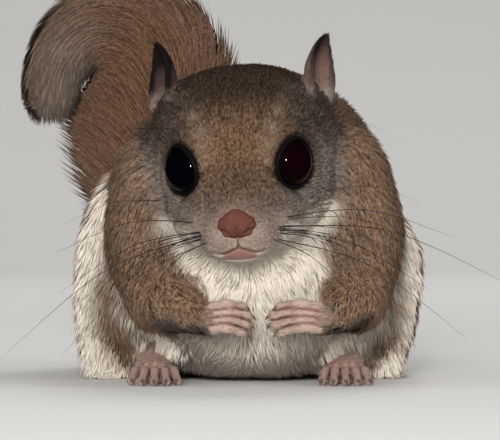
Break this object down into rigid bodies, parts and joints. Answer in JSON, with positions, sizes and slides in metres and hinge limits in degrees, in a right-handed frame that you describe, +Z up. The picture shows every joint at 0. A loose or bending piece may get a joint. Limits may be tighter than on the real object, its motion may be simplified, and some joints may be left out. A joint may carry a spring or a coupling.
{
  "type": "flying squirrel",
  "caption": "Southern flying squirrel sitting hunched with its hands together, flat tail raised and curled over, life size.",
  "frame": {"origin": "on the floor, under the middle of the bounding box", "axes": "+X to the animal's left, +Y from its face to its rump, +Z up"},
  "size_m": [0.0774, 0.099, 0.0669],
  "materials": {
    "back_fur": "soft dense grey-brown fur",
    "belly_fur": "soft cream-white fur",
    "tail_fur": "soft flat brown fur with grey fringes",
    "pink_skin": "bare pink skin with fine pale hair",
    "nose_skin": "moist pink-brown skin",
    "ear_skin": "thin nearly bare skin",
    "eye_black": "wet glossy black",
    "whisker_hair": "stiff black hair"
  },
  "bodies": {
    "root": {"head": "back_fur", "nose": "nose_skin", "ear_left": "ear_skin", "ear_right": "ear_skin", "eye_left": "eye_black", "eye_right": "eye_black", "neck": "back_fur", "torso": "back_fur", "upper_arm_left": "back_fur", "upper_arm_right": "back_fur", "forearm_left": "back_fur", "forearm_right": "back_fur", "hand_left": "pink_skin", "hand_right": "pink_skin", "patagium_left": "belly_fur", "patagium_right": "belly_fur", "hind_leg_left": "back_fur", "hind_leg_right": "back_fur", "foot_left": "pink_skin", "foot_right": "pink_skin", "tail_base": "tail_fur", "tail_middle": "tail_fur", "tail_upper": "tail_fur", "tail_tip": "tail_fur", "whiskers_left": "whisker_hair", "whiskers_right": "whisker_hair"}
  },
  "joints": []
}
